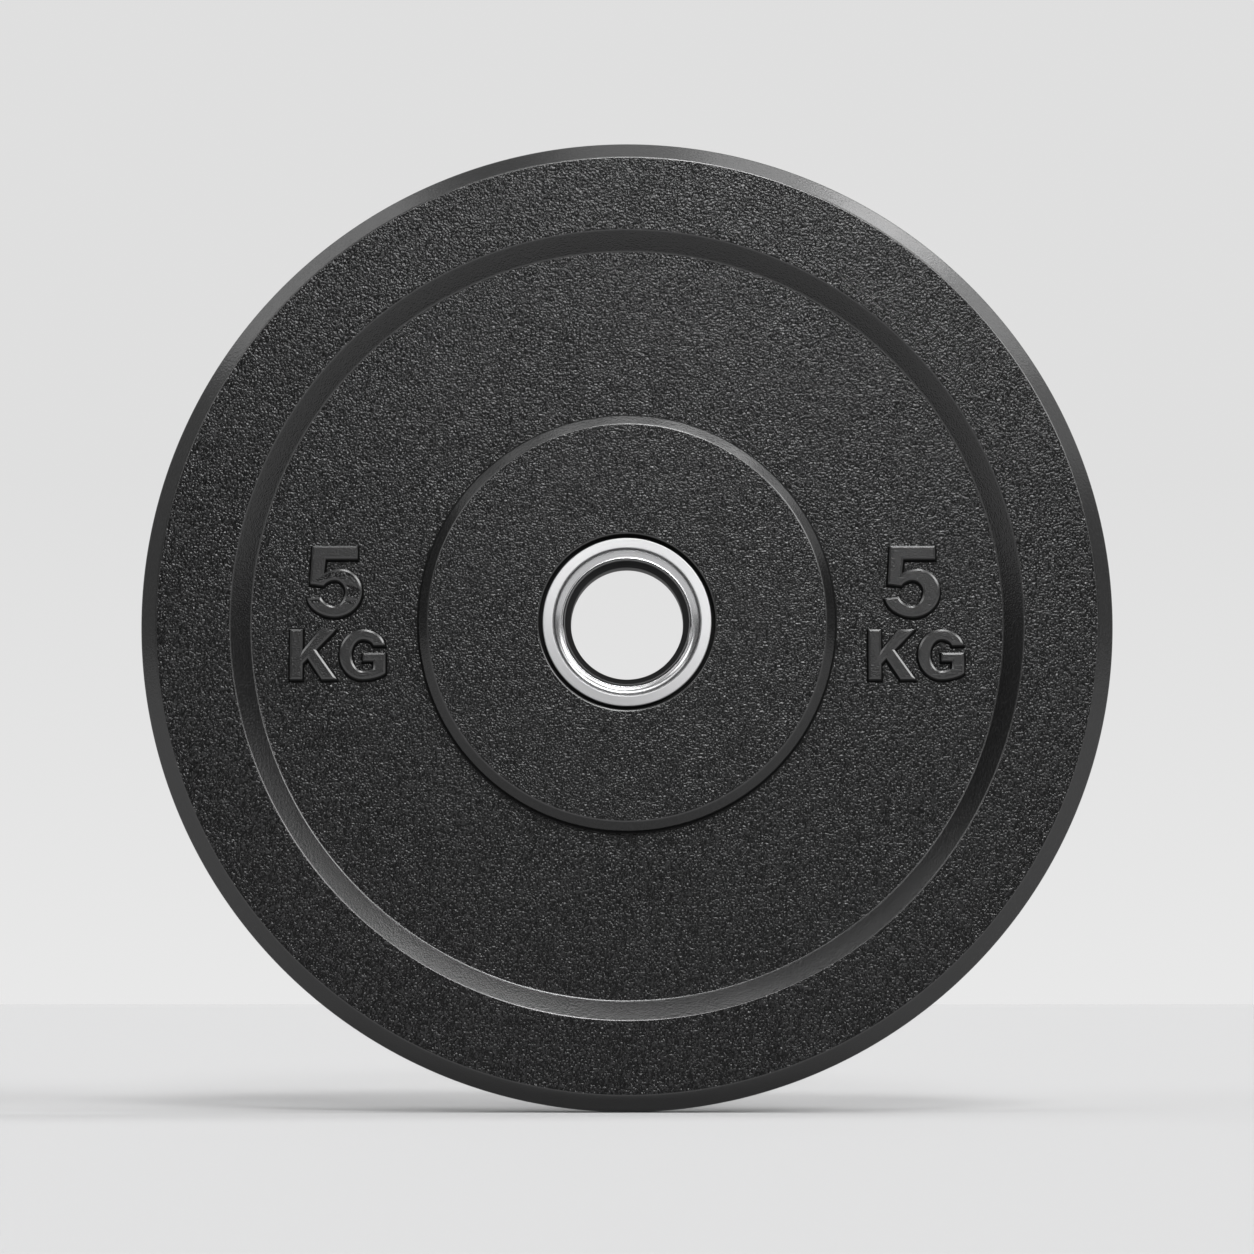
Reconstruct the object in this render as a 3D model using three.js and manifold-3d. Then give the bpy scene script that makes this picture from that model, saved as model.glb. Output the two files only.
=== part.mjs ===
// Bumper plate: a moulded rubber disc round a steel hub, standing on its tread
// Lengths are in millimetres. The bore runs along Y, the front faces -Y and +Z is up

import * as THREE from 'three';
import { mergeVertices } from 'three/addons/utils/BufferGeometryUtils.js';
import Module from 'manifold-3d';

const wasm = await Module();
wasm.setup();

// Plate as a whole
const plateDiameter = 450;
const boreDiameter = 52;
const rimThickness = 32;
const webThickness = 15;
const hubThickness = 34;
const fitClearance = 0.3;
const cutOverrun = 1;

// Rim, from the tread inwards
const shoulderWidth = 7.8;
const shoulderDepth = 8;
const rimFaceWidth = 34.4;
const recessWallWidth = 8.6;

// Hub, from the flange outwards
const flangeGap = 1.6;
const hubFaceWidth = 51.4;
const hubBevelWidth = 4.3;
const hubBevelDepth = 3.6;

// Bore sleeve
const sleeveWall = 3.4;
const sleeveMouthWidth = 2.6;
const sleeveMouthDepth = 4.2;

// Flanged collars
const collarInset = 0.5;
const flangeThickness = 3.2;
const flangeFaceWidth = 4.6;
const flangeEdgeRadius = 0.5;
const countersinkWidth = 4.7;
const countersinkDepth = 3.6;
const countersinkInnerSlope = 8;
const countersinkOuterSlope = 66;
const lipWidth = 0.4;
const spigotWall = 4.8;
const spigotReachShare = 0.5;

// Anchor disc
const anchorWidth = 40;
const anchorThickness = 4.5;
const anchorHoleCount = 8;
const anchorHoleDiameter = 16;
const anchorHolePlaceShare = 0.52;

// Raised weight mark
const markRelief = 2.3;
const markBevel = 0.8;
const markRoot = 1.6;
const markPlaceShare = 0.48;
const markLift = 5;
const markRowGap = 6;
const numeralWidth = 25.3;
const numeralHeight = 32.8;
const numeralShift = -1.6;
const letterKWidth = 21.6;
const letterGWidth = 21.2;
const letterHeight = 23;
const letterGap = 1.3;

// Fineness of round forms
const plateFacets = 72;
const hubFacets = 64;
const postFacets = 16;
const edgeSteps = 3;
const countersinkSteps = 5;
const glyphCurveSteps = 5;

// Radii and half depths that follow
const boreRadius = boreDiameter / 2;
const sleeveRadius = boreRadius + sleeveWall;
const collarBoreRadius = sleeveRadius + fitClearance;
const countersinkRadius = collarBoreRadius + countersinkWidth;
const flangeRadius = countersinkRadius + flangeFaceWidth;
const spigotRadius = collarBoreRadius + spigotWall;
const counterboreRadius = flangeRadius + flangeGap;
const hubFaceRadius = counterboreRadius + hubFaceWidth;
const hubBaseRadius = hubFaceRadius + hubBevelWidth;
const anchorRadius = collarBoreRadius + anchorWidth;
const anchorHoleCircleRadius = collarBoreRadius + anchorWidth * anchorHolePlaceShare;
const treadRadius = plateDiameter / 2;
const rimFaceRadius = treadRadius - shoulderWidth;
const recessRadius = rimFaceRadius - rimFaceWidth;
const webRadius = recessRadius - recessWallWidth;

const rimHalf = rimThickness / 2;
const treadHalf = rimHalf - shoulderDepth;
const webHalf = webThickness / 2;
const hubHalf = hubThickness / 2;
const hubWallHalf = hubHalf - hubBevelDepth;
const anchorHalf = anchorThickness / 2;
const anchorCavityHalf = anchorHalf + fitClearance;
const flangeFaceHalf = hubHalf - collarInset;
const flangeBackHalf = flangeFaceHalf - flangeThickness;
const flangeSeatHalf = flangeBackHalf - fitClearance;
const lipHalf = flangeFaceHalf - countersinkDepth;
const spigotEndHalf = flangeBackHalf - (flangeBackHalf - anchorCavityHalf) * spigotReachShare;
const spigotSeatHalf = spigotEndHalf - fitClearance;
const sleeveHalf = lipHalf - fitClearance;
const sleeveMouthHalf = sleeveHalf - sleeveMouthDepth;

// Materials
const rubber = new THREE.MeshStandardMaterial({ color: 0x1e1e1f, roughness: 0.62, metalness: 0 });
const satinSteel = new THREE.MeshStandardMaterial({ color: 0xc4c5c7, roughness: 0.28, metalness: 1 });
const turnedSteel = new THREE.MeshStandardMaterial({ color: 0x8d8f92, roughness: 0.36, metalness: 1 });
const plainSteel = new THREE.MeshStandardMaterial({ color: 0x5c5e61, roughness: 0.5, metalness: 1 });

// Solid from a closed geometry
function solidOf(geometry) {
  const bare = geometry.clone();
  bare.deleteAttribute('normal');
  bare.deleteAttribute('uv');
  const merged = mergeVertices(bare);
  return new wasm.Manifold(new wasm.Mesh({
    numProp: 3,
    vertProperties: merged.attributes.position.array,
    triVerts: new Uint32Array(merged.index.array),
  }));
}

// Geometry from a solid
function geometryOf(solid) {
  const mesh = solid.getMesh();
  const geometry = new THREE.BufferGeometry();
  geometry.setAttribute('position', new THREE.BufferAttribute(mesh.vertProperties, mesh.numProp));
  geometry.setIndex(new THREE.BufferAttribute(mesh.triVerts, 1));
  geometry.computeVertexNormals();
  return geometry;
}

// Ring turned about Y from a closed outline of [radius, y], with its flat facets at the radii given
function turned(outline, facets) {
  const halfStep = Math.PI / facets;
  const points = outline.map(([radius, y]) => new THREE.Vector2(radius / Math.cos(halfStep), y));
  points.push(points[0].clone());
  const lathe = new THREE.LatheGeometry(points, facets, halfStep);
  lathe.deleteAttribute('normal');
  lathe.deleteAttribute('uv');
  const ring = mergeVertices(lathe);
  ring.computeVertexNormals();
  return ring;
}

// Second half of an outline: the first half again behind the middle plane, in reverse
function withMirror(half) {
  const back = half.map(([radius, y]) => [radius, -y]).reverse();
  return [...half, ...back];
}

// Round rod along Y through the middle plane
function rodThrough(radius, halfLength, x, z) {
  const rod = new THREE.CylinderGeometry(radius, radius, halfLength * 2, postFacets);
  rod.translate(x, 0, z);
  return solidOf(rod);
}

// Places round the anchor disc where rubber passes through it
function anchorHolePlaces() {
  return Array.from({ length: anchorHoleCount }, (_, index) => {
    const turn = (index + 0.5) * 2 * Math.PI / anchorHoleCount;
    return [anchorHoleCircleRadius * Math.sin(turn), anchorHoleCircleRadius * Math.cos(turn)];
  });
}

// Pen that draws a glyph in shares of its width and height
function glyphPen(width, height, startShares) {
  const roundShare = 0.55;
  const shape = new THREE.Shape();
  const at = ([across, up]) => new THREE.Vector2(across * width, up * height);
  const between = (from, to, share) => from.clone().lerp(to, share);
  let place = at(startShares);
  shape.moveTo(place.x, place.y);
  return {
    shape,
    line(...cornerShares) {
      for (const corner of cornerShares) {
        place = at(corner);
        shape.lineTo(place.x, place.y);
      }
    },
    round(cornerShares, endShares) {
      const corner = at(cornerShares);
      const end = at(endShares);
      const leave = between(place, corner, roundShare);
      const arrive = between(end, corner, roundShare);
      shape.bezierCurveTo(leave.x, leave.y, arrive.x, arrive.y, end.x, end.y);
      place = end;
    },
  };
}

function numeralFive(width, height) {
  const pen = glyphPen(width, height, [0.09, 1]);
  pen.line([0.052, 0.468], [0.297, 0.443]);
  pen.round([0.36, 0.522], [0.497, 0.522]);
  pen.round([0.698, 0.522], [0.698, 0.362]);
  pen.round([0.698, 0.146], [0.5, 0.146]);
  pen.round([0.3, 0.146], [0.25, 0.279]);
  pen.line([0, 0.254]);
  pen.round([0.07, 0], [0.5, 0]);
  pen.round([1, 0], [1, 0.362]);
  pen.round([1, 0.672], [0.606, 0.672]);
  pen.round([0.43, 0.672], [0.302, 0.607]);
  pen.line([0.335, 0.821], [0.917, 0.821], [0.917, 1]);
  return pen.shape;
}

function letterK(width, height) {
  const pen = glyphPen(width, height, [0, 0]);
  pen.line([0.268, 0], [0.268, 0.316], [0.38, 0.425], [0.683, 0], [1, 0]);
  pen.line([0.553, 0.589], [0.98, 1], [0.637, 1], [0.268, 0.57], [0.268, 1], [0, 1]);
  return pen.shape;
}

function letterG(width, height) {
  const pen = glyphPen(width, height, [0.5, 0]);
  pen.round([0.84, 0], [1, 0.127]);
  pen.line([1, 0.528], [0.507, 0.528], [0.507, 0.373], [0.739, 0.373], [0.739, 0.215]);
  pen.round([0.65, 0.161], [0.51, 0.161]);
  pen.round([0.261, 0.161], [0.261, 0.506]);
  pen.round([0.261, 0.809], [0.51, 0.809]);
  pen.round([0.7, 0.809], [0.739, 0.689]);
  pen.line([0.985, 0.689]);
  pen.round([0.94, 1], [0.51, 1]);
  pen.round([0, 1], [0, 0.506]);
  pen.round([0, 0], [0.5, 0]);
  return pen.shape;
}

// Glyph standing out of the front web, its lower left corner at x, z
function raisedGlyph(shape, x, z) {
  const glyph = new THREE.ExtrudeGeometry(shape, {
    depth: markRoot + markRelief - 2 * markBevel,
    bevelThickness: markBevel,
    bevelSize: markBevel,
    bevelOffset: -markBevel,
    bevelSegments: 1,
    curveSegments: glyphCurveSteps,
  });
  glyph.translate(0, 0, markBevel);
  glyph.rotateX(Math.PI / 2);
  glyph.translate(x, markRoot - webHalf, z);
  return solidOf(glyph);
}

// One mark: the numeral over its unit, centred at the given x on the front web
function weightMark(centreX) {
  const letterRowWidth = letterKWidth + letterGap + letterGWidth;
  const markHeight = numeralHeight + markRowGap + letterHeight;
  const letterZ = markLift - markHeight / 2;
  const numeralZ = letterZ + letterHeight + markRowGap;
  const letterX = centreX - letterRowWidth / 2;
  const numeralX = centreX + numeralShift - numeralWidth / 2;
  return [
    raisedGlyph(numeralFive(numeralWidth, numeralHeight), numeralX, numeralZ),
    raisedGlyph(letterK(letterKWidth, letterHeight), letterX, letterZ),
    raisedGlyph(letterG(letterGWidth, letterHeight), letterX + letterKWidth + letterGap, letterZ),
  ];
}

// Rubber body: rim, web and hub in one moulding, with the steel parts' seats inside
function makeRubberBody() {
  const outside = withMirror([
    [counterboreRadius, -hubHalf],
    [hubFaceRadius, -hubHalf],
    [hubBaseRadius, -hubWallHalf],
    [hubBaseRadius, -webHalf],
    [webRadius, -webHalf],
    [recessRadius, -rimHalf],
    [rimFaceRadius, -rimHalf],
    [treadRadius, -treadHalf],
  ]);
  const inside = withMirror([
    [counterboreRadius, flangeSeatHalf],
    [spigotRadius + fitClearance, flangeSeatHalf],
    [spigotRadius + fitClearance, spigotSeatHalf],
    [collarBoreRadius, spigotSeatHalf],
    [collarBoreRadius, anchorCavityHalf],
    [anchorRadius + fitClearance, anchorCavityHalf],
  ]);
  let body = solidOf(turned([...outside, ...inside], plateFacets));
  const postRadius = anchorHoleDiameter / 2 - fitClearance;
  for (const [x, z] of anchorHolePlaces()) {
    body = body.add(rodThrough(postRadius, anchorCavityHalf + cutOverrun, x, z));
  }
  const markRadius = hubBaseRadius + (webRadius - hubBaseRadius) * markPlaceShare;
  for (const glyph of [...weightMark(-markRadius), ...weightMark(markRadius)]) {
    body = body.add(glyph).add(glyph.rotate([0, 0, 180]));
  }
  return geometryOf(body);
}

// Anchor disc: the steel plate that the rubber is moulded round and through
function makeAnchorDisc() {
  let disc = solidOf(turned(withMirror([
    [collarBoreRadius, -anchorHalf],
    [anchorRadius, -anchorHalf],
  ]), hubFacets));
  for (const [x, z] of anchorHolePlaces()) {
    disc = disc.subtract(rodThrough(anchorHoleDiameter / 2, anchorHalf + cutOverrun, x, z));
  }
  return geometryOf(disc);
}

// Bore sleeve: the tube that the bar slides through, opened out at both mouths
function makeBoreSleeve() {
  const outside = withMirror([[sleeveRadius, -sleeveHalf]]);
  const inside = withMirror([
    [boreRadius + sleeveMouthWidth, sleeveHalf],
    [boreRadius, sleeveMouthHalf],
  ]);
  return turned([...outside, ...inside], hubFacets);
}

// Quarter-round between a face and an edge: points from the first direction to the second
function roundedEdge(centreRadius, centreY, edgeRadius, fromTurn, toTurn) {
  return Array.from({ length: edgeSteps + 1 }, (_, step) => {
    const turn = fromTurn + (toTurn - fromTurn) * step / edgeSteps;
    return [centreRadius + edgeRadius * Math.cos(turn), centreY + edgeRadius * Math.sin(turn)];
  });
}

// Hollow curve from one point to another, whose slope turns evenly between two angles in degrees
function hollowCurve([fromRadius, fromY], [toRadius, toY], fromSlope, toSlope) {
  const places = [[0, 0]];
  for (let step = 0; step < countersinkSteps; step += 1) {
    const slope = THREE.MathUtils.degToRad(fromSlope + (toSlope - fromSlope) * (step + 0.5) / countersinkSteps);
    const [across, along] = places[step];
    places.push([across + Math.cos(slope), along + Math.sin(slope)]);
  }
  const [width, depth] = places[countersinkSteps];
  return places.map(([across, along]) => [
    fromRadius + (toRadius - fromRadius) * across / width,
    fromY + (toY - fromY) * along / depth,
  ]);
}

// Flanged collar at the front: a flat flange, a hollow countersink and a spigot round the sleeve
function makeCollar() {
  return turned([
    [collarBoreRadius, -lipHalf],
    ...hollowCurve([collarBoreRadius + lipWidth, -lipHalf], [countersinkRadius, -flangeFaceHalf],
      countersinkInnerSlope, countersinkOuterSlope),
    ...roundedEdge(flangeRadius - flangeEdgeRadius, flangeEdgeRadius - flangeFaceHalf,
      flangeEdgeRadius, -Math.PI / 2, 0),
    [flangeRadius, -flangeBackHalf],
    [spigotRadius, -flangeBackHalf],
    [spigotRadius, -spigotEndHalf],
    [collarBoreRadius, -spigotEndHalf],
  ], hubFacets);
}

function named(name, geometry, material) {
  const mesh = new THREE.Mesh(geometry, material);
  mesh.name = name;
  return mesh;
}

const collar = makeCollar();
const backCollar = named('back_collar', collar, satinSteel);
backCollar.rotation.z = Math.PI;

const plate = new THREE.Group();
plate.add(
  named('rubber_body', makeRubberBody(), rubber),
  named('anchor_disc', makeAnchorDisc(), plainSteel),
  named('bore_sleeve', makeBoreSleeve(), turnedSteel),
  named('front_collar', collar, satinSteel),
  backCollar,
);

export default plate;
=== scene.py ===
# Bumper plate: looks of the moulded rubber, the weight marks and the turned steel of the hub
# Lengths are in metres. The bore runs along Y, the front faces -Y and +Z is up

import math

import bmesh
import bpy
from mathutils import Matrix, Vector


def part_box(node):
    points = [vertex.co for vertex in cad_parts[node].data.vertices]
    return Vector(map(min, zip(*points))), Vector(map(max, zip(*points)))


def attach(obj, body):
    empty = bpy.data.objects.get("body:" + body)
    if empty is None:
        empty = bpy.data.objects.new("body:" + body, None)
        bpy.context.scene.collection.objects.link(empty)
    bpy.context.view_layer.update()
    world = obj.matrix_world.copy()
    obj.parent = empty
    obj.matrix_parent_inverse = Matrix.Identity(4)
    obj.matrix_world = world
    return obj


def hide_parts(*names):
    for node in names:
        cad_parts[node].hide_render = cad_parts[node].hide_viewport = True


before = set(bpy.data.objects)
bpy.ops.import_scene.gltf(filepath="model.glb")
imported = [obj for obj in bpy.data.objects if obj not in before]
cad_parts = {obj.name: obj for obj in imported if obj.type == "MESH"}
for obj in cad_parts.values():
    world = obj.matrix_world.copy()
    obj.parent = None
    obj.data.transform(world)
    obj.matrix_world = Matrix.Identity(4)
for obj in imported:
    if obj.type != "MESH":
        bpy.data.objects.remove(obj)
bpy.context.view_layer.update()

# Sizes read from the frame
body_low, body_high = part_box("rubber_body")
collar_low, collar_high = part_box("front_collar")
_, sleeve_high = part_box("bore_sleeve")
_, disc_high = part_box("anchor_disc")
tread_radius = body_high.x
hub_half = body_high.y
flange_radius = collar_high.x
flange_face_half = -collar_low.y
spigot_end_half = -collar_high.y
sleeve_radius = sleeve_high.x
sleeve_half = sleeve_high.y
disc_radius = disc_high.x
disc_half = disc_high.y

# Sizes of the rubber body
fit_clearance = 0.0003
rim_half = 0.016
web_half = 0.0075
shoulder_width = 0.0078
shoulder_depth = 0.008
rim_face_width = 0.0344
recess_wall_width = 0.0086
flange_gap = 0.0016
hub_face_width = 0.0514
hub_bevel_width = 0.0043
hub_bevel_depth = 0.0036
flange_thickness = 0.0032
parting_ridge_height = 0.00025
parting_ridge_half = 0.0005

# Sizes of the steel pieces, with slopes in degrees
bore_radius = 0.026
countersink_width = 0.0047
countersink_depth = 0.0036
countersink_inner_slope = 8
countersink_outer_slope = 63
slope_reach = countersink_outer_slope - countersink_inner_slope
hollow_ease = 0.62
lip_width = 0.0007
lip_rise = 0.00017
flange_crown = 0.0002
lip_edge_radius = 0.0002
countersink_edge_radius = 0.0003
flange_edge_radius = 0.0005
spigot_wall = 0.0048
sleeve_mouth_width = 0.0026
sleeve_mouth_depth = 0.0042
sleeve_edge_radius = 0.0001
sleeve_mouth_blend = 0.006
post_count = 8
post_steps = 32
post_radius = 0.0077
post_place_share = 0.52

# Sizes of the weight mark
mark_relief = 0.0023
mark_bevel = 0.0009
mark_bevel_depth = 0.0004
# A dark foot under each glyph, dropped below it, stands in for the shadow round the glyph: painted
# shadow
shadow_foot_width = 0.0009
shadow_foot_overlap = 0.00005
shadow_foot_drop = 0.0007
mark_root = 0.0012
mark_place_share = 0.48
mark_lift = 0.005
mark_row_gap = 0.006
numeral_width = 0.0253
numeral_height = 0.0328
numeral_shift = -0.0016
letter_k_width = 0.0216
letter_g_width = 0.0212
letter_height = 0.023
letter_gap = 0.0013

# Edge radii of the rubber
crisp_edge = 0.0008
face_edge = 0.0010
inner_corner = 0.0010
tread_edge = 0.0016

# Fineness of the meshes
turn_steps = 384
steel_turn_steps = 256
edge_steps = 5
edge_support = 0.0003
longest_run = 0.008
sharp_corner = math.radians(25)
glyph_curve_steps = 10
hollow_steps = 16

# Limits by which the faces of the rubber get their materials, with leans as cosines
shallow_depth = 0.0001
flat_lean = math.cos(math.radians(3))
edge_lean = math.cos(math.radians(37))
side_lean = math.cos(math.radians(60))

# Radii and half depths that follow
collar_bore_radius = sleeve_radius + fit_clearance
counterbore_radius = flange_radius + flange_gap
hub_face_radius = counterbore_radius + hub_face_width
hub_base_radius = hub_face_radius + hub_bevel_width
rim_face_radius = tread_radius - shoulder_width
recess_radius = rim_face_radius - rim_face_width
web_radius = recess_radius - recess_wall_width
tread_half = rim_half - shoulder_depth
hub_wall_half = hub_half - hub_bevel_depth
flange_back_half = flange_face_half - flange_thickness
lip_half = flange_face_half - countersink_depth
countersink_radius = collar_bore_radius + countersink_width
spigot_radius = collar_bore_radius + spigot_wall


def softened(corners):
    """Outline of a closed list of (radius, y, edge radius) corners, with each corner rounded."""
    points = []
    for index, (radius, y, edge) in enumerate(corners):
        here = Vector((radius, y))
        before = Vector(corners[index - 1][:2]) - here
        after = Vector(corners[(index + 1) % len(corners)][:2]) - here
        if edge == 0:
            points.append(here)
            continue
        opening = before.angle(after)
        start = here + before.normalized() * edge / math.tan(opening / 2)
        middle = (before.normalized() + after.normalized()).normalized()
        centre = here + middle * edge / math.sin(opening / 2)
        turn = math.pi - opening
        side = 1 if before.cross(after) < 0 else -1
        for step in range(edge_steps + 1):
            arm = Matrix.Rotation(side * turn * step / edge_steps, 2) @ (start - centre)
            points.append(centre + arm)
    return points


def hollow(start, end):
    """Corners of a hollow curve from start to end, nearly flat at the start and steep at the end."""
    places = [Vector((0, 0))]
    for step in range(hollow_steps):
        share = ((step + 0.5) / hollow_steps) ** hollow_ease
        slope = math.radians(countersink_inner_slope + slope_reach * share)
        places.append(places[-1] + Vector((math.cos(slope), math.sin(slope))))
    width, depth = places[-1]
    return [(start[0] + (end[0] - start[0]) * place.x / width,
             start[1] + (end[1] - start[1]) * place.y / depth, 0) for place in places]


def supported(points):
    """The outline with extra points along its straight runs, so that flat faces shade flat."""
    made = []
    for index, here in enumerate(points):
        there = points[(index + 1) % len(points)]
        run = (there - here).length
        made.append(here)
        if run < 3 * edge_support:
            continue
        pieces = max(1, math.ceil((run - 2 * edge_support) / longest_run))
        for step in range(pieces + 1):
            reach = edge_support + (run - 2 * edge_support) * step / pieces
            made.append(here + (there - here) * reach / run)
    return made


def turn_into(mesh, outline, steps):
    """Adds to a bmesh the closed ring that the outline sweeps about Y."""
    rings = []
    for step in range(steps):
        turn = 2 * math.pi * step / steps
        across, up = math.sin(turn), math.cos(turn)
        rings.append([mesh.verts.new((point.x * across, point.y, point.x * up)) for point in outline])
    for step in range(steps):
        ring, following = rings[step], rings[(step + 1) % steps]
        for index in range(len(outline)):
            other = (index + 1) % len(outline)
            mesh.faces.new((ring[index], ring[other], following[other], following[index]))


def mirrored(half):
    """A half outline of corners followed by its mirror image behind the middle plane."""
    return half + [(radius, -y, edge) for radius, y, edge in reversed(half)]


def object_from(mesh, name, materials):
    """Finishes a bmesh as a smooth object at the origin, with its sharp corners kept."""
    bmesh.ops.recalc_face_normals(mesh, faces=mesh.faces)
    for edge in mesh.edges:
        edge.smooth = len(edge.link_faces) < 2 or edge.calc_face_angle() < sharp_corner
    data = bpy.data.meshes.new(name)
    mesh.to_mesh(data)
    mesh.free()
    for material in materials:
        data.materials.append(material)
    data.shade_smooth()
    piece = bpy.data.objects.new(name, data)
    bpy.context.scene.collection.objects.link(piece)
    return piece


def dress(piece, node):
    """Puts a finished piece in the place of its CAD node."""
    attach(piece, "root")
    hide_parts(node)


# Glyph outlines, in shares of their width and height


class GlyphPen:
    """Pen that collects the points of one closed outline."""

    round_share = 0.55

    def __init__(self, width, height, start_shares):
        self.size = Vector((width, height))
        self.points = [self.place(start_shares)]

    def place(self, shares):
        return Vector((shares[0] * self.size.x, shares[1] * self.size.y))

    def line(self, *corner_shares):
        self.points += [self.place(corner) for corner in corner_shares]

    def round(self, corner_shares, end_shares):
        start = self.points[-1]
        corner = self.place(corner_shares)
        end = self.place(end_shares)
        leave = start.lerp(corner, self.round_share)
        arrive = end.lerp(corner, self.round_share)
        for step in range(1, glyph_curve_steps + 1):
            share = step / glyph_curve_steps
            rest = 1 - share
            self.points.append(start * rest**3 + leave * 3 * rest**2 * share
                               + arrive * 3 * rest * share**2 + end * share**3)


def numeral_five(width, height):
    pen = GlyphPen(width, height, (0.09, 1))
    pen.line((0.052, 0.468), (0.297, 0.443))
    pen.round((0.36, 0.522), (0.497, 0.522))
    pen.round((0.698, 0.522), (0.698, 0.362))
    pen.round((0.698, 0.146), (0.5, 0.146))
    pen.round((0.3, 0.146), (0.25, 0.279))
    pen.line((0, 0.254))
    pen.round((0.07, 0), (0.5, 0))
    pen.round((1, 0), (1, 0.362))
    pen.round((1, 0.672), (0.606, 0.672))
    pen.round((0.43, 0.672), (0.302, 0.607))
    pen.line((0.335, 0.821), (0.917, 0.821), (0.917, 1))
    return pen.points


def letter_k(width, height):
    pen = GlyphPen(width, height, (0, 0))
    pen.line((0.268, 0), (0.268, 0.316), (0.38, 0.425), (0.683, 0), (1, 0))
    pen.line((0.553, 0.589), (0.98, 1), (0.637, 1), (0.268, 0.57), (0.268, 1), (0, 1))
    return pen.points


def letter_g(width, height):
    pen = GlyphPen(width, height, (0.5, 0))
    pen.round((0.84, 0), (1, 0.127))
    pen.line((1, 0.528), (0.507, 0.528), (0.507, 0.373), (0.739, 0.373), (0.739, 0.215))
    pen.round((0.65, 0.161), (0.51, 0.161))
    pen.round((0.261, 0.161), (0.261, 0.506))
    pen.round((0.261, 0.809), (0.51, 0.809))
    pen.round((0.7, 0.809), (0.739, 0.689))
    pen.line((0.985, 0.689))
    pen.round((0.94, 1), (0.51, 1))
    pen.round((0, 1), (0, 0.506))
    pen.round((0, 0), (0.5, 0))
    return pen.points[:-1]


def glyph_solid(outline, top_height, root_depth, swell, chamfer_width, chamfer_depth):
    """Mesh of a glyph with chamfered edges and a swollen outline, from root_depth below the web up."""
    stretch = chamfer_depth / chamfer_width
    curve = bpy.data.curves.new("glyph", "CURVE")
    curve.dimensions = "2D"
    curve.fill_mode = "BOTH"
    curve.extrude = (top_height + root_depth) / 2 / stretch - chamfer_width
    curve.bevel_depth = chamfer_width
    curve.bevel_resolution = 0
    curve.offset = swell - chamfer_width
    spline = curve.splines.new("POLY")
    spline.points.add(len(outline) - 1)
    for point, place in zip(spline.points, outline):
        point.co = (place.x, place.y, 0, 1)
    spline.use_cyclic_u = True
    holder = bpy.data.objects.new("glyph", curve)
    bpy.context.scene.collection.objects.link(holder)
    solid = bpy.data.meshes.new_from_object(holder.evaluated_get(bpy.context.evaluated_depsgraph_get()))
    middle = Matrix.Translation((0, 0, (top_height - root_depth) / 2))
    solid.transform(middle @ Matrix.Diagonal((1, 1, stretch, 1)))
    bpy.data.objects.remove(holder)
    bpy.data.curves.remove(curve)
    return solid


def add_glyph(mesh, outline, x, z):
    """Adds a raised glyph to a bmesh on each face of the plate, with a dark foot dropped below it as a
    painted shadow.
    """
    shadow_foot_height = mark_relief - mark_bevel_depth
    shadow_foot_reach = shadow_foot_width + shadow_foot_overlap
    glyph = glyph_solid(outline, mark_relief, mark_root, 0, mark_bevel, mark_bevel_depth)
    shadow_foot = glyph_solid(outline, shadow_foot_height, shadow_foot_height, shadow_foot_width, shadow_foot_reach, shadow_foot_height)
    for solid, drop, is_shadow_foot in ((glyph, 0, False), (shadow_foot, shadow_foot_drop, True)):
        upright = Matrix.Translation((x, -web_half, z - drop)) @ Matrix.Rotation(math.pi / 2, 4, "X")
        for about_z in (0, math.pi):
            first = len(mesh.faces)
            placed = solid.copy()
            placed.transform(Matrix.Rotation(about_z, 4, "Z") @ upright)
            mesh.from_mesh(placed)
            mesh.faces.ensure_lookup_table()
            for face in mesh.faces[first:]:
                lean = abs(face.normal.y)
                # The foot and the glyph's steep sides take the dark dull rubber: painted shade
                if is_shadow_foot or lean < side_lean:
                    face.material_index = painted_shade_index
                else:
                    face.material_index = mark_index if lean > flat_lean else edge_index
            bpy.data.meshes.remove(placed)
        bpy.data.meshes.remove(solid)


def add_weight_mark(mesh, centre_x):
    """One mark, the numeral over its unit, centred at centre_x on the web."""
    row_width = letter_k_width + letter_gap + letter_g_width
    letter_z = mark_lift - (numeral_height + mark_row_gap + letter_height) / 2
    letter_x = centre_x - row_width / 2
    glyphs = (
        (numeral_five(numeral_width, numeral_height),
         centre_x + numeral_shift - numeral_width / 2, letter_z + letter_height + mark_row_gap),
        (letter_k(letter_k_width, letter_height), letter_x, letter_z),
        (letter_g(letter_g_width, letter_height), letter_x + letter_k_width + letter_gap, letter_z),
    )
    for outline, x, z in glyphs:
        add_glyph(mesh, outline, x, z)


def add_post(mesh, x, z, half_length):
    """A post of rubber through the anchor disc."""
    made = bmesh.ops.create_cone(mesh, cap_ends=True, segments=post_steps, radius1=post_radius,
                                 radius2=post_radius, depth=2 * half_length)
    lay_flat = Matrix.Translation((x, 0, z)) @ Matrix.Rotation(math.pi / 2, 4, "X")
    bmesh.ops.transform(mesh, matrix=lay_flat, verts=made["verts"])


# Materials

# Grain of the rubber, as the noise that forms it
grain_detail = 0.3
grain_groove_level = 0.45
grain_ridge_level = 0.7
rubber_blue_share = 1.02
cloud_scale = 22
rubber_roughness_swing = 0.02

# Turning lines of the steel, as noise drawn out round the bore
lines_round_bore = 1.5
lines_per_metre = 6000
steel_blue_share = 1.01
steel_roughness_drop = 0.05
steel_roughness_rise = 0.06

# Noise that varies the roughness of both, and the levels where it starts and ends
noise_detail = 3
noise_roughness = 0.6
noise_low = 0.3
noise_high = 0.7


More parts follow.
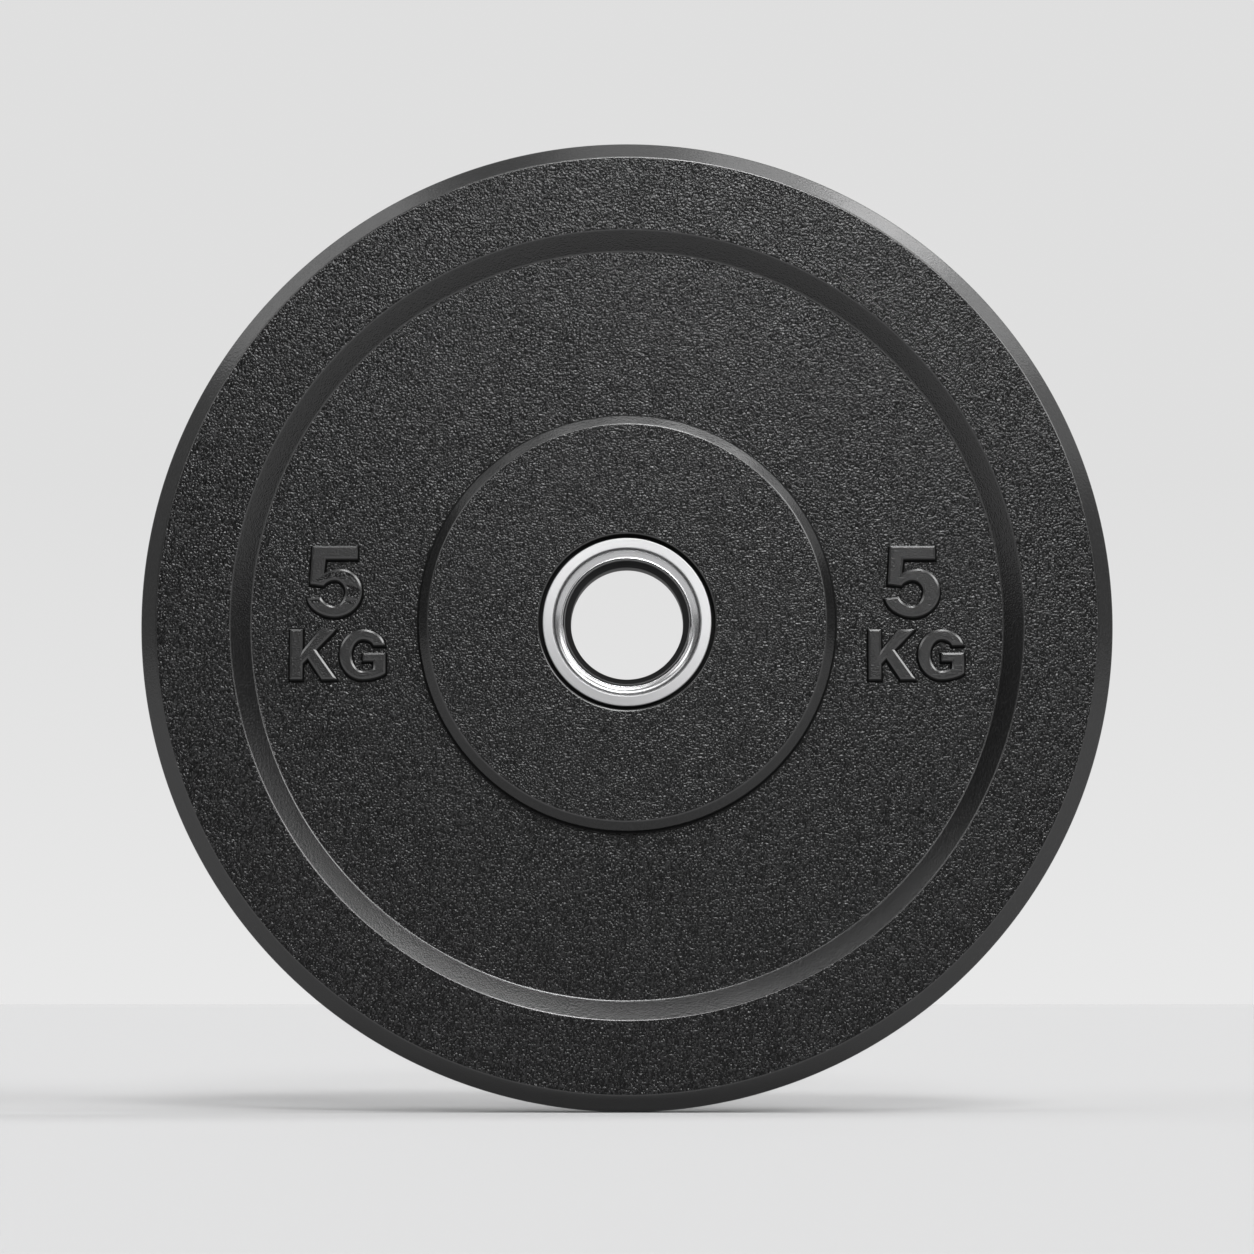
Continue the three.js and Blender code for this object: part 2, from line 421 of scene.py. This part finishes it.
def new_material(name, **values):
    """A material with its Principled shader set, and its node tree."""
    material = bpy.data.materials.new(name)
    material.use_nodes = True
    shader = material.node_tree.nodes["Principled BSDF"]
    for socket, value in values.items():
        shader.inputs[socket.replace("_", " ")].default_value = value
    return material, material.node_tree, shader


def add_node(tree, kind, inputs=None, **settings):
    """A node with its settings, its plain inputs set and its linked inputs joined."""
    node = tree.nodes.new(kind)
    for name, value in settings.items():
        setattr(node, name, value)
    for name, value in (inputs or {}).items():
        if isinstance(value, bpy.types.NodeSocket):
            tree.links.new(value, node.inputs[name])
        else:
            node.inputs[name].default_value = value
    return node


def ramp_between(tree, source, low, high, low_value, high_value):
    """Maps source from low..high to low_value..high_value, clamped."""
    node = add_node(tree, "ShaderNodeMapRange", {
        "Value": source, "From Min": low, "From Max": high, "To Min": low_value, "To Max": high_value,
    })
    return node.outputs["Result"]


def rubber_material(name, grain_size, grain_height, roughness, groove_shade, ridge_and_glint_shade, gloss):
    """Black moulded rubber with a grain of small winding ridges, of the given size and height."""
    material, tree, shader = new_material(name, Specular_IOR_Level=gloss)
    place = add_node(tree, "ShaderNodeTexCoord").outputs["Object"]
    swell = add_node(tree, "ShaderNodeTexNoise", {
        "Vector": place, "Scale": 1 / grain_size, "Detail": grain_detail,
    })
    cloud = add_node(tree, "ShaderNodeTexNoise", {
        "Vector": place, "Scale": cloud_scale, "Detail": noise_detail, "Roughness": noise_roughness,
    })
    groove, raised = (
        (shade, shade, shade * rubber_blue_share, 1) for shade in (groove_shade, ridge_and_glint_shade))
    # Ridges lighter than the grooves: the grain's own tone, and also a painted highlight for the glints
    # off the ridges
    if groove_shade == ridge_and_glint_shade:
        shader.inputs["Base Color"].default_value = groove
    else:
        ridge = ramp_between(tree, swell.outputs["Fac"], grain_groove_level, grain_ridge_level, 0, 1)
        tint = add_node(tree, "ShaderNodeMix", {"Factor": ridge}, data_type="RGBA")
        tint.inputs["A"].default_value = groove
        tint.inputs["B"].default_value = raised
        tree.links.new(tint.outputs["Result"], shader.inputs["Base Color"])
    uneven = ramp_between(tree, cloud.outputs["Fac"], noise_low, noise_high,
                          roughness - rubber_roughness_swing, roughness + rubber_roughness_swing)
    tree.links.new(uneven, shader.inputs["Roughness"])
    bump = add_node(tree, "ShaderNodeBump", {
        "Height": swell.outputs["Fac"], "Strength": 1, "Distance": grain_height,
    })
    tree.links.new(bump.outputs["Normal"], shader.inputs["Normal"])
    return material


def steel_material(name, shade, roughness, line_height, edge_shade=1):
    """Steel turned on a lathe, with fine circular lines about the bore."""
    material, tree, shader = new_material(
        name, Base_Color=(shade, shade, shade * steel_blue_share, 1), Metallic=1, Anisotropic=0.3,
        Specular_Tint=(edge_shade, edge_shade, edge_shade, 1))
    place = add_node(tree, "ShaderNodeTexCoord").outputs["Object"]
    axes = add_node(tree, "ShaderNodeSeparateXYZ", {"Vector": place})
    across = add_node(tree, "ShaderNodeMath", {
        0: axes.outputs["X"], 1: axes.outputs["Z"],
    }, operation="ARCTAN2")
    flat = add_node(tree, "ShaderNodeCombineXYZ", {"X": axes.outputs["X"], "Y": axes.outputs["Z"]})
    reach = add_node(tree, "ShaderNodeVectorMath", {0: flat.outputs["Vector"]}, operation="LENGTH")
    turning = add_node(tree, "ShaderNodeCombineXYZ", {
        "X": across.outputs["Value"], "Y": reach.outputs["Value"], "Z": axes.outputs["Y"],
    })
    stretch = add_node(tree, "ShaderNodeVectorMath", {
        0: turning.outputs["Vector"], 1: (lines_round_bore, lines_per_metre, lines_per_metre),
    }, operation="MULTIPLY")
    lines = add_node(tree, "ShaderNodeTexNoise", {
        "Vector": stretch.outputs["Vector"], "Scale": 1, "Detail": noise_detail,
        "Roughness": noise_roughness,
    })
    uneven = ramp_between(tree, lines.outputs["Fac"], noise_low, noise_high,
                          roughness - steel_roughness_drop, roughness + steel_roughness_rise)
    tree.links.new(uneven, shader.inputs["Roughness"])
    bump = add_node(tree, "ShaderNodeBump", {
        "Height": lines.outputs["Fac"], "Strength": 1, "Distance": line_height,
    })
    tree.links.new(bump.outputs["Normal"], shader.inputs["Normal"])
    tangent = add_node(tree, "ShaderNodeTangent", direction_type="RADIAL", axis="Y")
    tree.links.new(tangent.outputs["Tangent"], shader.inputs["Tangent"])
    return material


grained_rubber = rubber_material(
    "grained_rubber", grain_size=0.00078, grain_height=0.0002, roughness=0.18,
    groove_shade=0.002, ridge_and_glint_shade=0.019, gloss=0.225)
wall_rubber = rubber_material(
    "wall_rubber", grain_size=0.0008, grain_height=0.0001, roughness=0.24,
    groove_shade=0.004, ridge_and_glint_shade=0.012, gloss=0.62)
satin_rubber = rubber_material(
    "satin_rubber", grain_size=0.0009, grain_height=0.00006, roughness=0.22,
    groove_shade=0.004, ridge_and_glint_shade=0.01, gloss=0.525)
mark_rubber = rubber_material(
    "mark_rubber", grain_size=0.0007, grain_height=0.00009, roughness=0.28,
    groove_shade=0.004, ridge_and_glint_shade=0.01, gloss=0.38)
# Dark dull rubber for the gap round the collar, the hub's wall and the corner at its base, and the sides
# and feet of the marks, where shade falls: painted shade
painted_shade_rubber = rubber_material(
    "painted_shade_rubber", grain_size=0.0009, grain_height=0.00001, roughness=0.6,
    groove_shade=0.003, ridge_and_glint_shade=0.003, gloss=0.1)
edge_rubber = rubber_material(
    "edge_rubber", grain_size=0.0009, grain_height=0.00001, roughness=0.26,
    groove_shade=0.004, ridge_and_glint_shade=0.004, gloss=0.95)
satin_steel = steel_material("satin_steel", shade=0.4, roughness=0.46, line_height=0.000006)
polished_steel = steel_material("polished_steel", shade=0.6, roughness=0.24, line_height=0.000004)
# Very dark steel for the bore sleeve, with its grazing reflection held down by the edge shade, so that
# the bore looks dark
turned_steel = steel_material(
    "turned_steel", shade=0.06, roughness=0.34, line_height=0.00001, edge_shade=0.3)
plain_steel = steel_material("plain_steel", shade=0.16, roughness=0.5, line_height=0.00001)

body_materials = [
    grained_rubber, wall_rubber, satin_rubber, mark_rubber, painted_shade_rubber, edge_rubber,
]
grained_index, wall_index, satin_index, mark_index, painted_shade_index, edge_index = range(len(body_materials))


# Rubber body


def skin_of(face):
    """Material index of a face of the turned body, by its place and its lean."""
    centre = face.calc_center_median()
    radius = math.hypot(centre.x, centre.z)
    if abs(face.normal.y) > flat_lean and radius > counterbore_radius:
        return grained_index
    # The gap round the collar, the hub's wall and the corner at its base take the dark dull rubber:
    # painted shade
    if radius < counterbore_radius + shallow_depth or (
            radius < hub_base_radius + inner_corner and abs(centre.y) < hub_wall_half):
        return painted_shade_index
    if abs(face.normal.y) > edge_lean:
        return edge_index
    if web_radius < radius < recess_radius:
        return wall_index
    return satin_index


def make_rubber_body():
    outside = mirrored([
        (counterbore_radius, -hub_half, crisp_edge),
        (hub_face_radius, -hub_half, face_edge),
        (hub_base_radius, -hub_wall_half, crisp_edge),
        (hub_base_radius, -web_half, inner_corner),
        (web_radius, -web_half, inner_corner),
        (recess_radius, -rim_half, face_edge),
        (rim_face_radius, -rim_half, face_edge),
        (tread_radius - parting_ridge_height, -tread_half, tread_edge),
        (tread_radius - parting_ridge_height, -parting_ridge_half, 0),
        (tread_radius, 0, 0),
    ])
    # The tip of the parting ridge is in both halves
    del outside[len(outside) // 2]
    seat_half = flange_back_half - fit_clearance
    spigot_seat_half = spigot_end_half - fit_clearance
    pocket_half = disc_half + fit_clearance
    inside = mirrored([
        (counterbore_radius, seat_half, 0),
        (spigot_radius + fit_clearance, seat_half, 0),
        (spigot_radius + fit_clearance, spigot_seat_half, 0),
        (collar_bore_radius, spigot_seat_half, 0),
        (collar_bore_radius, pocket_half, 0),
        (disc_radius + fit_clearance, pocket_half, 0),
    ])
    mesh = bmesh.new()
    turn_into(mesh, supported(softened(outside + inside)), turn_steps)
    bmesh.ops.recalc_face_normals(mesh, faces=mesh.faces)
    for face in mesh.faces:
        face.material_index = skin_of(face)
    post_circle = collar_bore_radius + (disc_radius - collar_bore_radius) * post_place_share
    for index in range(post_count):
        turn = 2 * math.pi * (index + 0.5) / post_count
        add_post(mesh, post_circle * math.sin(turn), post_circle * math.cos(turn), pocket_half)
    mark_radius = hub_base_radius + (web_radius - hub_base_radius) * mark_place_share
    for side in (-1, 1):
        add_weight_mark(mesh, side * mark_radius)
    return object_from(mesh, "moulded_body", body_materials)


# Steel pieces


def make_collar(name, about_z):
    mesh = bmesh.new()
    lip_edge = (collar_bore_radius + lip_width, -lip_half)
    countersink = hollow(lip_edge, (countersink_radius, -flange_face_half))
    turn_into(mesh, supported(softened([
        (collar_bore_radius, -lip_half - lip_rise, lip_edge_radius),
        *countersink[:-1],
        (countersink_radius, -flange_face_half, countersink_edge_radius),
        (flange_radius, flange_crown - flange_face_half, flange_edge_radius),
        (flange_radius, -flange_back_half, 0),
        (spigot_radius, -flange_back_half, 0),
        (spigot_radius, -spigot_end_half, 0),
        (collar_bore_radius, -spigot_end_half, 0),
    ])), steel_turn_steps)
    for face in mesh.faces:
        centre = face.calc_center_median()
        face.material_index = int(math.hypot(centre.x, centre.z) < countersink_radius)
    bmesh.ops.rotate(mesh, matrix=Matrix.Rotation(about_z, 3, "Z"), verts=mesh.verts)
    return object_from(mesh, name, [satin_steel, polished_steel])


def make_sleeve():
    mesh = bmesh.new()
    outside = mirrored([(sleeve_radius, -sleeve_half, sleeve_edge_radius)])
    inside = mirrored([
        (bore_radius + sleeve_mouth_width, sleeve_half, sleeve_edge_radius),
        (bore_radius, sleeve_half - sleeve_mouth_depth, sleeve_mouth_blend),
    ])
    turn_into(mesh, supported(softened(outside + inside)), steel_turn_steps)
    return object_from(mesh, "bored_sleeve", [turned_steel])


dress(make_rubber_body(), "rubber_body")
dress(make_collar("flanged_collar_front", 0), "front_collar")
dress(make_collar("flanged_collar_back", math.pi), "back_collar")
dress(make_sleeve(), "bore_sleeve")
for material_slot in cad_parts["anchor_disc"].material_slots:
    material_slot.material = plain_steel


# Stage

floor_height = body_low.z
floor_half_width = 60
floor_color = (0.54, 0.54, 0.543, 1)
backdrop_shade = 0.74
backdrop_foot_shade = 0.81
backdrop_rise = 0.12
room_shade = 0.15
room_front = -0.1
room_back = 0.5
fill_strength = 0.1
white = (1, 1, 1, 1)
lamp_distance = 3


def make_floor():
    mesh = bmesh.new()
    corners = [(-1, -1), (1, -1), (1, 1), (-1, 1)]
    mesh.faces.new([
        mesh.verts.new((x * floor_half_width, y * floor_half_width, floor_height)) for x, y in corners
    ])
    material, _, _ = new_material(
        "floor_card", Base_Color=floor_color, Roughness=0.9, Specular_IOR_Level=0.1)
    floor = object_from(mesh, "floor", [material])


def light_world():
    """Pale backdrop for what the camera, metal and glass see, darker in front, and a low fill."""
    world = bpy.data.worlds.new("studio")
    bpy.context.scene.world = world
    world.use_nodes = True
    tree = world.node_tree
    tree.nodes.clear()
    path = add_node(tree, "ShaderNodeLightPath").outputs
    direction = add_node(tree, "ShaderNodeTexCoord").outputs["Generated"]
    axes = add_node(tree, "ShaderNodeSeparateXYZ", {"Vector": direction})
    room = ramp_between(tree, axes.outputs["Y"], room_front, room_back, room_shade, backdrop_shade)
    wall = ramp_between(tree, axes.outputs["Z"], 0, backdrop_rise, backdrop_foot_shade, backdrop_shade)
    shade = add_node(tree, "ShaderNodeMix", {"Factor": path["Is Camera Ray"], "A": room, "B": wall})
    seen = add_node(tree, "ShaderNodeMath", {
        0: path["Is Glossy Ray"], 1: path["Is Transmission Ray"],
    }, operation="MAXIMUM")
    seen = add_node(tree, "ShaderNodeMath", {
        0: path["Is Camera Ray"], 1: seen.outputs["Value"],
    }, operation="MAXIMUM")
    pale = add_node(tree, "ShaderNodeBackground", {"Strength": shade.outputs["Result"]})
    pale.inputs["Color"].default_value = white
    fill = add_node(tree, "ShaderNodeBackground", {"Color": white, "Strength": fill_strength})
    mix = add_node(tree, "ShaderNodeMixShader", {
        "Fac": seen.outputs["Value"], 1: fill.outputs["Background"], 2: pale.outputs["Background"],
    })
    output = add_node(tree, "ShaderNodeOutputWorld")
    tree.links.new(mix.outputs["Shader"], output.inputs["Surface"])


def add_sun(name, across, forward, spread, strength):
    """A large soft light far away, in degrees to the right of straight up and towards the front."""
    light = bpy.data.lights.new(name, "SUN")
    light.angle = math.radians(spread)
    light.energy = strength
    lamp = bpy.data.objects.new(name, light)
    side, front = math.radians(across), math.radians(forward)
    level = math.cos(front)
    towards = Vector((math.sin(side) * level, -math.sin(front), math.cos(side) * level))
    lamp.rotation_mode = "QUATERNION"
    lamp.rotation_quaternion = towards.to_track_quat("Z", "Y")
    lamp.location = towards * lamp_distance
    bpy.context.scene.collection.objects.link(lamp)


def add_camera():
    """Camera at the photograph's angle: just above the floor, looking slightly up."""
    photo_pixels = 1254
    metres_per_pixel = 0.0004645
    distance = 2.0
    height_above_floor = 0.051
    aim = Vector((0, 0, -0.001))
    sensor_width_mm = 36
    data = bpy.data.cameras.new("camera")
    camera = bpy.data.objects.new("camera", data)
    bpy.context.scene.collection.objects.link(camera)
    low = floor_height + height_above_floor
    camera.location = (0, -math.sqrt(distance**2 - low**2), low)
    camera.rotation_mode = "QUATERNION"
    camera.rotation_quaternion = (camera.location - aim).to_track_quat("Z", "Y")
    data.sensor_width = sensor_width_mm
    data.lens = sensor_width_mm * distance / (photo_pixels * metres_per_pixel)
    data.clip_start = 0.05
    data.clip_end = 200
    bpy.context.scene.camera = camera


make_floor()
light_world()

# Strengths of the two arches of soft light over the plate, by their place across it in degrees
overhead_arch = {-45: 0.07, -30: 0.10, -15: 0.19, 0: 0.23, 15: 0.34, 30: 0.33, 45: 0.17, 60: 0.07}
behind_arch = {-45: 0.11, -30: 0.10, 0: 0.06, 15: 0.18, 30: 0.41, 45: 0.17, 60: 0.05}
for across, strength in overhead_arch.items():
    add_sun("overhead", across, forward=7.5, spread=15, strength=strength)
for across, strength in behind_arch.items():
    add_sun("behind", across, forward=-13, spread=16, strength=strength)
add_sun("front", across=14, forward=70, spread=8, strength=0.66)
add_sun("front_left", across=0, forward=70, spread=8, strength=0.25)
add_sun("key", across=8, forward=46, spread=14, strength=1.2)
add_sun("side", across=47, forward=52, spread=16, strength=0.28)
add_sun("far_right", across=52, forward=38, spread=24, strength=1.0)
add_sun("far_left", across=-52, forward=38, spread=24, strength=0.4)
add_camera()
bpy.context.scene.view_settings.view_transform = "Standard"
